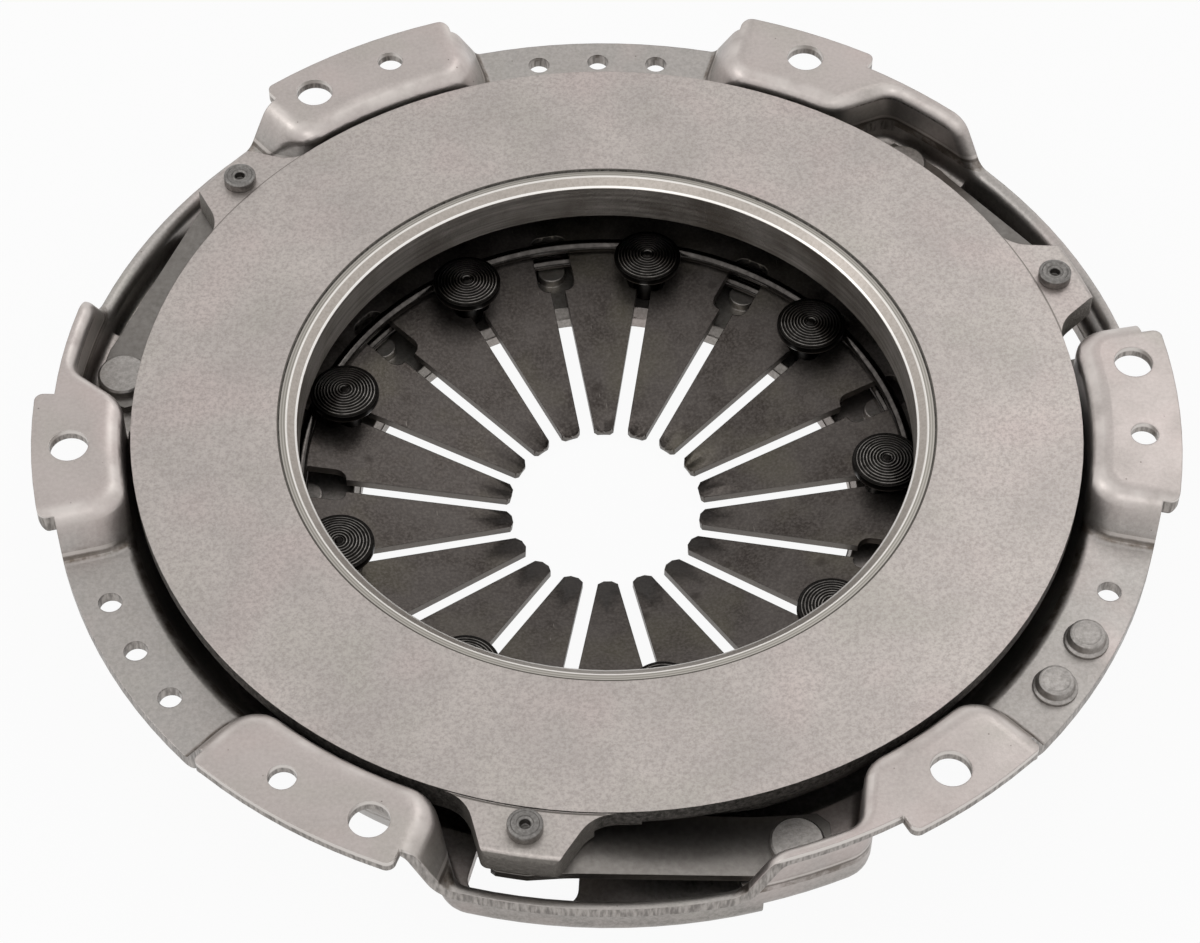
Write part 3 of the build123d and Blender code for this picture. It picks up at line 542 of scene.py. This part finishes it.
# ------------------------------------------------------------------ fulcrum rivets
# heads keep the tool's feed as grooves round a small nub; a real 0.55 mm pitch is drawn at
# 0.75 mm to show. The other sizes are the solids' own, set out from each one's top and foot
head_r = 8.1
head_edge = 0.6
head_rim = 2.4
head_dome = 0.8
shank_r = 3.25
tail_r = 4.0
tail_length = 1.5
groove_pitch = 0.75
groove_depth = 0.17
nub_r = 1.05
nub_rise = 0.22
nub_foot = 0.25  # width of the nub's coved side
glint_share = 0.16  # share of a groove's pitch, on either side of its crest, that gets the painted glint
for number in range(1, 10):
    node = f"fulcrum_rivet_{number}"
    centre, low, high = middle_of(node)
    rim_z = high - head_dome
    r = np.linspace(0, head_r - head_edge, 151)
    dome = head_dome * (1 - (r / (head_r - head_edge)) ** 2)
    wave = 0.5 - 0.5 * np.cos(2 * pi * (r - nub_r) / groove_pitch)
    nub = nub_rise * np.exp(-(((r - nub_r) / nub_foot) ** 2))
    groove = np.where(r > nub_r, groove_depth * wave**1.6, nub)
    top = list(zip(r, rim_z + dome - groove - 0.02))
    under = rim_z - head_rim
    side = softened(
        [
            top[-1],
            (head_r - 0.15, rim_z - 0.05),
            (head_r, rim_z - head_edge),
            (head_r, under + head_edge),
            (head_r - head_edge, under),
            (shank_r, under),
            (shank_r, low + tail_length),
        ],
        0.25,
    )
    tail = softened(
        [
            (shank_r, low + tail_length),
            (tail_r, low + tail_length),
            (tail_r * 0.7, low),
            (0, low),
        ],
        0.3,
    )
    rivet = turned(f"grooved_fulcrum_rivet_{number}", top + side[1:] + tail[1:], centre)
    rivet.data.materials.append(black_rivet_steel)
    rivet.data.materials.append(painted_glint_rivet_steel)
    # painted glints: the lighter steel goes on the crests of the grooves and on the corner under
    # the head
    middles = np.array([tuple(face.center) for face in rivet.data.polygons]) * 1000
    out = np.hypot(middles[:, 0] - centre[0], middles[:, 1] - centre[1])
    phase = (out - nub_r) / groove_pitch % 1
    upper = middles[:, 2] > rim_z - 0.3
    on_crest = (phase < glint_share) | (phase > 1 - glint_share)
    glint_faces = upper & (out > nub_r) & (out < head_r - head_edge) & on_crest
    corner = (out > head_r - 0.35) & (np.abs(middles[:, 2] - under - head_edge) < 0.35)
    rivet.data.polygons.foreach_set("material_index", (glint_faces | corner).astype(np.int32))
    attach(rivet, "cover")
    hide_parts(node)

# ------------------------------------------------------------------ strap and lug rivets
# hollow head of the rivet through each lug: a stepped ring round a deep punched hole
hollow_head_r = 3.8
hollow_head = 2.44
punch_r = 1.12
punch_depth = 2.2
ring_depth = 0.45
lug_shank_r = 3.2
lug_tail_r = 5.2
lug_tail = 1.6
for number in (1, 2, 3):
    node = f"strap_lug_rivet_{number}"
    centre, low, high = middle_of(node)
    outline = softened(
        [
            (0, high - punch_depth),
            (punch_r, high - punch_depth),
            (punch_r, high - 0.5),
            (punch_r + 0.55, high - 0.12),
            (punch_r + 0.8, high - ring_depth),
            (hollow_head_r - 0.9, high - ring_depth),
            (hollow_head_r - 0.7, high),
            (hollow_head_r, high - 0.35),
            (hollow_head_r, high - hollow_head),
            (lug_shank_r, high - hollow_head),
            (lug_shank_r, low + lug_tail),
            (lug_tail_r, low + lug_tail),
            (lug_tail_r * 0.75, low),
            (0, low),
        ],
        0.2,
    )
    rivet = turned(f"hollow_lug_rivet_{number}", outline, centre)
    rivet.data.materials.append(hollow_rivet_steel)
    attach(rivet, "pressure_plate")
    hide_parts(node)

# ------------------------------------------------------------------ balance rivets
# a dished top inside a rounded corner, a coned side and a thin bright foot
balance_base_r = 4.95
balance_top_r = 3.9
balance_head = 3.0
dish_depth = 0.22
balance_shank_r = 2.55
balance_tail_r = 4.4
balance_tail = 1.4
for number in (1, 2):
    node = f"balance_rivet_{number}"
    centre, low, high = middle_of(node)
    foot = high - balance_head
    outline = softened(
        [
            (0, high - dish_depth),
            (balance_top_r - 1.1, high - dish_depth),
            (balance_top_r - 0.7, high),
            (balance_top_r, high - 0.25),
            (balance_top_r + 0.35, foot + 0.9),
            (balance_base_r, foot + 0.55),
            (balance_base_r, foot + 0.01),
            (balance_shank_r, foot + 0.01),
            (balance_shank_r, low + balance_tail),
            (balance_tail_r, low + balance_tail),
            (balance_tail_r * 0.8, low),
            (0, low),
        ],
        0.22,
    )
    rivet = turned(f"dished_balance_rivet_{number}", outline, centre)
    rivet.data.materials.append(headed_steel)
    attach(rivet, "cover")
    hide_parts(node)

# ------------------------------------------------------------------ drive straps
# each stack is cut across between its two rivets, so that it can bend there, and is left flat
# under both heads
strap_hold = 9.0
strap_step = 2.5
for number in (1, 2, 3):
    origin = Vector((*middle_of(f"strap_cover_rivet_{number}")[0], 0))
    reach = Vector((*middle_of(f"strap_lug_rivet_{number}")[0], 0)) - origin
    along = reach.normalized()
    last = reach.length - strap_hold
    leaves = [f"strap_{number}_leaf_{leaf}" for leaf in (1, 2, 3)]
    work = merged_copy(leaves)
    cut_across(work, origin, along, np.arange(strap_hold, last + 0.1, strap_step))
    straps = finished(work, f"strap_stack_{number}")
    straps.data.shade_flat()  # the long thin triangles of the bends shade unevenly when smooth
    straps.data.materials.append(strap_steel)
    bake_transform(straps)
    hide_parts(*leaves)

# ------------------------------------------------------------------ diaphragm spring
# the rim beyond the rings follows the plate, so the spring is cut midway along its slots into
# one sector a finger, and each sector is cut across outward along its own middle line, so that it
# can bend there
fingers = 18
first_slot_at = 15.0
spring_hold_r = 72.5
spring_rim_r = 94.0
spring_step = 2.15
for number in range(fingers):
    middle = radians(first_slot_at + (number + 0.5) * 360 / fingers)
    outward = Vector((np.cos(middle), np.sin(middle), 0))
    work = merged_copy(["diaphragm_spring"])
    for side in (-1, 1):
        edge_at = middle + side * pi / fingers
        across = Vector((-np.sin(edge_at), np.cos(edge_at), 0)) * side
        geometry = work.verts[:] + work.edges[:] + work.faces[:]
        cut = bmesh.ops.bisect_plane(
            work, geom=geometry, dist=1e-7, plane_co=(0, 0, 0), plane_no=across, clear_outer=True
        )
        rim = [e for e in cut["geom_cut"] if isinstance(e, bmesh.types.BMEdge)]
        bmesh.ops.holes_fill(work, edges=rim)
    cut_across(work, (0, 0, 0), outward, np.arange(spring_hold_r, spring_rim_r, spring_step))
    finger = finished(work, f"spring_finger_{number + 1}")
    finger.data.materials.append(spring_steel)
    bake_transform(finger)
    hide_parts("diaphragm_spring")

# ------------------------------------------------------------------ finishes of the solids
# every solid has its own metal, those that a piece replaces too
finishes = {
    "cover": cover_steel,
    "pressure_plate": plate_iron,
    "diaphragm_spring": spring_steel,
    "plate_side_ring": wire_steel,
    "cover_side_ring": wire_steel,
    "balance_rivet_1": headed_steel,
    "balance_rivet_2": headed_steel,
}
for number in (1, 2, 3):
    finishes[f"strap_cover_rivet_{number}"] = headed_steel
    finishes[f"strap_lug_rivet_{number}"] = hollow_rivet_steel
    for leaf in (1, 2, 3):
        finishes[f"strap_{number}_leaf_{leaf}"] = strap_steel
for number in range(1, 10):
    finishes[f"fulcrum_rivet_{number}"] = black_rivet_steel
for node, material in finishes.items():
    nodes[node].data.materials.clear()
    nodes[node].data.materials.append(material)


# ------------------------------------------------------------------ stage and light
def white_behind(tree, lit, white, share):
    """Shader that is lit to diffuse rays, and mixed with plain white by a share to the rays of
    the camera, of gloss and of glass."""
    rays = add(tree, "LightPath").outputs
    behind = {0: rays["Is Camera Ray"], 1: rays["Is Glossy Ray"]}
    behind = add(tree, "Math", behind, operation="MAXIMUM")
    behind = {0: behind, 1: rays["Is Transmission Ray"]}
    behind = add(tree, "Math", behind, operation="MAXIMUM")
    behind = add(tree, "Math", {0: behind, 1: share}, operation="MULTIPLY")
    return add(tree, "MixShader", {0: behind, 1: lit, 2: white})


# a square of 12 m, just under the part
floor_mesh = bpy.data.meshes.new("floor")
half = 6.0
floor_z = solid_box[0].z - 0.0002
corners = [(-half, -half), (half, -half), (half, half), (-half, half)]
floor_mesh.from_pydata([(x, y, floor_z) for x, y in corners], [], [(0, 1, 2, 3)])
floor = bpy.data.objects.new("floor", floor_mesh)
bpy.context.scene.collection.objects.link(floor)
# sheet of white paper: matt, and nearly free of shade to the eye
paper = bpy.data.materials.new("white_paper")
paper.use_nodes = True
tree = paper.node_tree
matt = tree.nodes["Principled BSDF"]
matt.inputs["Base Color"].default_value = linear("#EDEDED")
matt.inputs["Roughness"].default_value = 0.9
glow = add(tree, "Emission", {"Color": "#FFFFFF", "Strength": 1.0})
blend = white_behind(tree, matt, glow, 0.94)
tree.links.new(blend.outputs[0], tree.nodes["Material Output"].inputs["Surface"])
floor_mesh.materials.append(paper)

world = bpy.data.worlds.new("studio")
bpy.context.scene.world = world
world.use_nodes = True
tree = world.node_tree
room = add(tree, "Background", {"Color": "#FFFFFF", "Strength": 0.5})
white = add(tree, "Background", {"Color": "#FFFFFF", "Strength": 1.0})
blend = white_behind(tree, room, white, 1.0)
tree.links.new(blend.outputs[0], tree.nodes["World Output"].inputs["Surface"])


def lamp(name, place, size, power):
    """Soft box: a square area lamp at a place, in metres and watts, that faces the object."""
    light = bpy.data.lights.new(name, "AREA")
    light.size = size
    light.energy = power
    made = bpy.data.objects.new(name, light)
    bpy.context.scene.collection.objects.link(made)
    made.location = place
    made.rotation_mode = "QUATERNION"
    made.rotation_quaternion = (-Vector(place)).to_track_quat("-Z", "Y")


# three weak boxes lay highlights over the even white room
lamp("right_box", (0.65, 0.75, 1.15), 0.5, 1.3)
lamp("front_box", (-0.35, -0.9, 1.15), 0.22, 1.2)
lamp("left_box", (-1.0, 0.1, 0.9), 0.3, 1.4)
